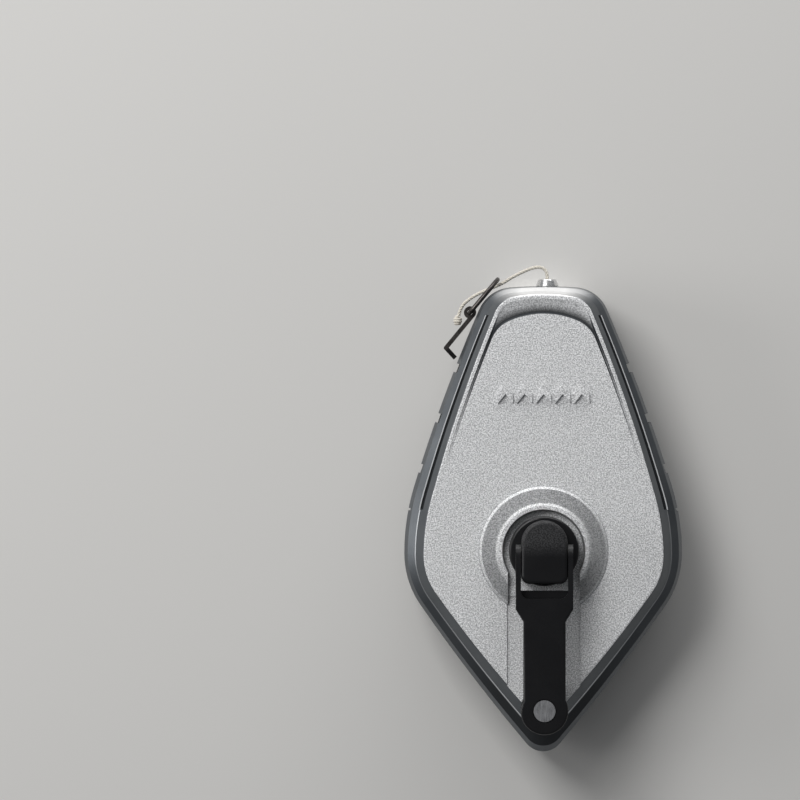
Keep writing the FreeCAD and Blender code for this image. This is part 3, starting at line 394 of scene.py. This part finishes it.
def smooth_line(points):
    """Points along the smooth line that a route's points steer, at rest."""
    curve = bpy.data.curves.new("route", "CURVE")
    curve.dimensions = "3D"
    curve.resolution_u = 10
    spline = curve.splines.new("NURBS")
    spline.points.add(len(points) - 1)
    for place, point in zip(spline.points, points):
        place.co = (*point, 1)
    spline.order_u = 3
    spline.use_endpoint_u = True
    holder = bpy.data.objects.new("route", curve)
    mesh = bpy.data.meshes.new_from_object(holder)
    line = [v.co.copy() for v in mesh.vertices]
    bpy.data.objects.remove(holder)
    bpy.data.curves.remove(curve)
    bpy.data.meshes.remove(mesh)
    return line


def spread_evenly(line, gap):
    """The same line with its points about gap apart."""
    lengths = [0.0]
    for a, b in zip(line, line[1:]):
        lengths.append(lengths[-1] + (b - a).length)
    count = max(2, round(lengths[-1] / gap))
    even = []
    spot = 0
    for step in range(count + 1):
        goal = lengths[-1] * step / count
        while spot < len(line) - 2 and lengths[spot + 1] < goal:
            spot += 1
        span = max(lengths[spot + 1] - lengths[spot], 1e-12)
        even.append(line[spot].lerp(line[spot + 1], (goal - lengths[spot]) / span))
    return even


def frames_along(line, start_side):
    """(point, direction, side, other side) at each point, turned as little as the line allows."""
    frames = []
    side = start_side
    for i, point in enumerate(line):
        ahead = line[min(i + 1, len(line) - 1)] - line[max(i - 1, 0)]
        ahead.normalize()
        side = (side - ahead * side.dot(ahead)).normalized()
        frames.append((point, ahead, side, ahead.cross(side)))
    return frames


def tube_faces(maker, rings, closed_ends=True):
    """Joins rings of points into a tube in the bmesh maker."""
    made = [[maker.verts.new(p) for p in ring] for ring in rings]
    count = len(made[0])
    for a, b in zip(made, made[1:]):
        for i in range(count):
            maker.faces.new((a[i], a[(i + 1) % count], b[(i + 1) % count], b[i]))
    if closed_ends:
        maker.faces.new(list(reversed(made[0])))
        maker.faces.new(made[-1])


def round_ring(centre, side, other, radius, count):
    turns = [2 * math.pi * i / count for i in range(count)]
    return [centre + (side * math.cos(t) + other * math.sin(t)) * radius for t in turns]


def mesh_from(maker, name):
    bmesh.ops.recalc_face_normals(maker, faces=maker.faces)
    mesh = bpy.data.meshes.new(name)
    maker.to_mesh(mesh)
    maker.free()
    return mesh


STRANDS = 3
CORD_RADIUS = 0.5 * MM
STRAND_RADIUS = 0.29 * MM
LAY_LENGTH = 2.6 * MM
STRAND_STEP = 0.22 * MM
STRAND_SIDES = 8


def twisted_cord(line, name):
    """Three plies wound round one line, inside a cord of CORD_RADIUS."""
    line = spread_evenly(line, STRAND_STEP)
    frames = frames_along(line, Vector((0, 0, 1)))
    maker = bmesh.new()
    offset = CORD_RADIUS - STRAND_RADIUS
    for strand in range(STRANDS):
        rings = []
        travelled = 0.0
        for i, (point, _, side, other) in enumerate(frames):
            if i:
                travelled += (point - frames[i - 1][0]).length
            turn = 2 * math.pi * (strand / STRANDS + travelled / LAY_LENGTH)
            centre = point + (side * math.cos(turn) + other * math.sin(turn)) * offset
            rings.append(round_ring(centre, side, other, STRAND_RADIUS, STRAND_SIDES))
        tube_faces(maker, rings)
    mesh = mesh_from(maker, name)
    smooth(mesh, 60)
    return mesh


def plain_tube(line, radius, name, sides=10, gap=0.25 * MM, ends=1.0):
    """A round tube along a line; its ends narrow to the share ends of its radius."""
    line = spread_evenly(line, gap)
    frames = frames_along(line, Vector((0, 0, 1)))
    maker = bmesh.new()
    last = len(frames) - 1
    rings = []
    for i, (point, _, side, other) in enumerate(frames):
        share = ends if i in (0, last) else 1.0
        rings.append(round_ring(point, side, other, radius * share, sides))
    tube_faces(maker, rings)
    mesh = mesh_from(maker, name)
    smooth(mesh, 60)
    return mesh


# ---- the line outside the case ------------------------------------------------------------------
def at_eye(x, y):
    return EYE + Vector((x * MM, y * MM, 0))


def at_outlet(x, y):
    return Vector((OUTLET_X + x * MM, NOSE_Y + y * MM, PARTING))


SPAN_ROUTE = [PIVOT, at_outlet(0, 4.4), at_outlet(-2.05, 5.7), at_outlet(-5.25, 4.9),
              at_eye(12.1, 10.1), at_eye(8.7, 7.9), at_eye(4.3, 6.2),
              at_eye(0.4, 4.3), at_eye(-2.7, 1.6), at_eye(-3.2, -1.0)]


def add_line_span(materials):
    line = smooth_line(SPAN_ROUTE)
    span = add_object("line_outside", twisted_cord(line, "line_outside"), "cord", materials)
    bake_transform(span)
    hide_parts("line_span")
    return span


def add_line_throat(materials):
    """The straight stretch in the outlet, up to the line outside."""
    start = Vector((OUTLET_X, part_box("line_throat")[0].y, PARTING))
    end = PIVOT
    throat = add_object("line_in_outlet", twisted_cord([start, end], "line_in_outlet"), "cord", materials)
    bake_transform(throat)
    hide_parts("line_throat")


KNOT_TURNS = 3.2
KNOT_STEPS = 90
KNOT_REACH = 2.1 * MM
KNOT_TURN_RADIUS = 0.78 * MM
KNOT_WAIST = 0.12 * MM
KNOT_LINE_RADIUS = 0.4 * MM


def add_knot(materials):
    """Three turns of line wound past the end of the span, narrowing at both ends."""
    way = (SPAN_ROUTE[-1] - SPAN_ROUTE[-2]).normalized()
    side = Vector((0, 0, 1))
    other = way.cross(side)
    wound = []
    for i in range(KNOT_STEPS + 1):
        share = i / KNOT_STEPS
        angle = 2 * math.pi * KNOT_TURNS * share
        radius = KNOT_TURN_RADIUS - KNOT_WAIST * math.cos(2 * math.pi * share)
        spot = SPAN_ROUTE[-1] + way * (KNOT_REACH * share + 0.2 * MM)
        wound.append(spot + (side * math.cos(angle) + other * math.sin(angle)) * radius)
    coil = plain_tube(wound, KNOT_LINE_RADIUS, "knot", 8, 0.2 * MM, 0.6)
    piece = add_object("knot", coil, "cord", materials)
    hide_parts("line_knot")
    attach(piece, "hook")
    return piece


# ---- CAD nodes ----------------------------------------------------------------------------------
def softened(node, width, slot_name, materials, body, angle=32, name=None):
    """The node's own shape with its sharp edges broken by a small round, standing in for it."""
    source = frame["nodes"][node]
    mesh = source.data.copy()
    maker = bmesh.new()
    maker.from_mesh(mesh)
    bmesh.ops.remove_doubles(maker, verts=maker.verts, dist=1e-6)
    bmesh.ops.dissolve_limit(maker, angle_limit=math.radians(0.6), verts=maker.verts, edges=maker.edges,
                             delimit={"NORMAL"})
    maker.to_mesh(mesh)
    maker.free()
    mesh.name = name or node + "_shape"
    piece = add_object(name or node + "_shape", mesh, slot_name, materials)
    for polygon in mesh.polygons:
        polygon.use_smooth = True
    for attribute in ("sharp_edge", "sharp_face", "custom_normal"):
        if attribute in mesh.attributes:
            mesh.attributes.remove(mesh.attributes[attribute])
    rounding = piece.modifiers.new("rounding", "BEVEL")
    rounding.width = width
    rounding.segments = 2
    rounding.limit_method = "ANGLE"
    rounding.angle_limit = math.radians(angle)
    rounding.harden_normals = True
    rounding.use_clamp_overlap = True
    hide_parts(node)
    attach(piece, body)
    return piece


def dress_cad_nodes(materials):
    slots = {s["node"]: s["material_slot"] for s in record["subparts"]}
    for node, thing in frame["nodes"].items():
        thing.data.materials.clear()
        thing.data.materials.append(materials[slots[node]])


# ---- raised motif on the face -------------------------------------------------------------------
MOTIF_COUNT = 5
MOTIF_PITCH = 5.3 * MM
MOTIF_HALF_WIDTH = 2.2 * MM
MOTIF_RISE = 2.6 * MM
MOTIF_THICKNESS = 2.6 * MM
MOTIF_HEIGHT = 0.8 * MM
MOTIF_ROOT = 0.1 * MM       # how far the ridges reach into the face
MOTIF_Y = 41.0 * MM


def add_motif(materials):
    """Five low roof-shaped ridges in a row, where a maker would put a name."""
    maker = bmesh.new()
    arm = MOTIF_HALF_WIDTH
    rise = MOTIF_RISE
    thick = MOTIF_THICKNESS
    outline = [(-arm, 0), (0, rise), (arm, 0), (arm, thick), (0, rise + thick), (-arm, thick)]
    for i in range(MOTIF_COUNT):
        middle = (i - (MOTIF_COUNT - 1) / 2) * MOTIF_PITCH
        low = [maker.verts.new((middle + x, MOTIF_Y + y, FACE_Z - MOTIF_ROOT)) for x, y in outline]
        top = [maker.verts.new((middle + x * 0.94, MOTIF_Y + y * 0.97 + 0.06 * MM, FACE_Z + MOTIF_HEIGHT))
               for x, y in outline]
        count = len(outline)
        for k in range(count):
            maker.faces.new((low[k], low[(k + 1) % count], top[(k + 1) % count], top[k]))
        maker.faces.new((top[0], top[1], top[4], top[5]))
        maker.faces.new((top[1], top[2], top[3], top[4]))
        maker.faces.new((low[1], low[0], low[5], low[4]))
        maker.faces.new((low[2], low[1], low[4], low[3]))
    mesh = mesh_from(maker, "motif")
    piece = add_object("face_motif", mesh, "case_metal", materials)
    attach(piece, "case")


# ---- stage --------------------------------------------------------------------------------------
FLOOR_HALF_WIDTH = 3.0
FLOOR_GAP = 0.2 * MM


def add_floor():
    mesh = bpy.data.meshes.new("floor")
    half = FLOOR_HALF_WIDTH
    corners = [(-half, -half, 0), (half, -half, 0), (half, half, 0), (-half, half, 0)]
    mesh.from_pydata(corners, [], [(0, 1, 2, 3)])
    floor = bpy.data.objects.new("floor", mesh)
    bpy.context.collection.objects.link(floor)
    floor.location.z = -FLOOR_GAP
    material = new_material("floor", (0.62, 0.61, 0.59), 0.8)
    mesh.materials.append(material)


def add_light(name, place, target, size, power, color=(1, 1, 1)):
    data = bpy.data.lights.new(name, "AREA")
    data.shape = "RECTANGLE"
    data.size, data.size_y = size
    data.energy = power
    data.color = color
    lamp = bpy.data.objects.new(name, data)
    bpy.context.collection.objects.link(lamp)
    lamp.location = place
    lamp.rotation_euler = (Vector(target) - Vector(place)).to_track_quat("-Z", "Y").to_euler()


def add_lights():
    target = (0, 0.01, 0.02)
    add_light("nose_light", (0.05, 1.15, 0.28), target, (1.3, 0.45), 10)
    add_light("key_light", (-0.50, 0.62, 1.00), target, (0.6, 0.6), 9)
    add_light("left_light", (-0.95, 0.10, 0.38), target, (0.4, 0.6), 2.6)
    world = bpy.data.worlds.new("studio")
    world.use_nodes = True
    world.node_tree.nodes["Background"].inputs["Color"].default_value = (0.80, 0.82, 0.85, 1)
    world.node_tree.nodes["Background"].inputs["Strength"].default_value = 0.2
    bpy.context.scene.world = world
    bpy.context.scene.view_settings.view_transform = "Standard"


# ---- build --------------------------------------------------------------------------------------
add_camera()
materials = make_materials()
dress_cad_nodes(materials)
knot = add_knot(materials)
hook = softened("end_hook", 0.18 * MM, "dark_steel", materials, "hook")
ring = softened("anchor_ring", 0.02 * MM, "dark_steel", materials, "ring")
add_line_span(materials)
add_line_throat(materials)
softened("crank_arm", 0.25 * MM, "black_plastic", materials, "arm")
softened("crank_hub", 0.25 * MM, "black_plastic", materials, "reel")
softened("crank_knob", 0.2 * MM, "black_plastic", materials, "knob")
softened("nozzle_ferrule", 0.12 * MM, "bright_metal", materials, "case")
softened("chalk_door", 0.15 * MM, "door_metal", materials, "door")
add_motif(materials)
add_floor()
add_lights()
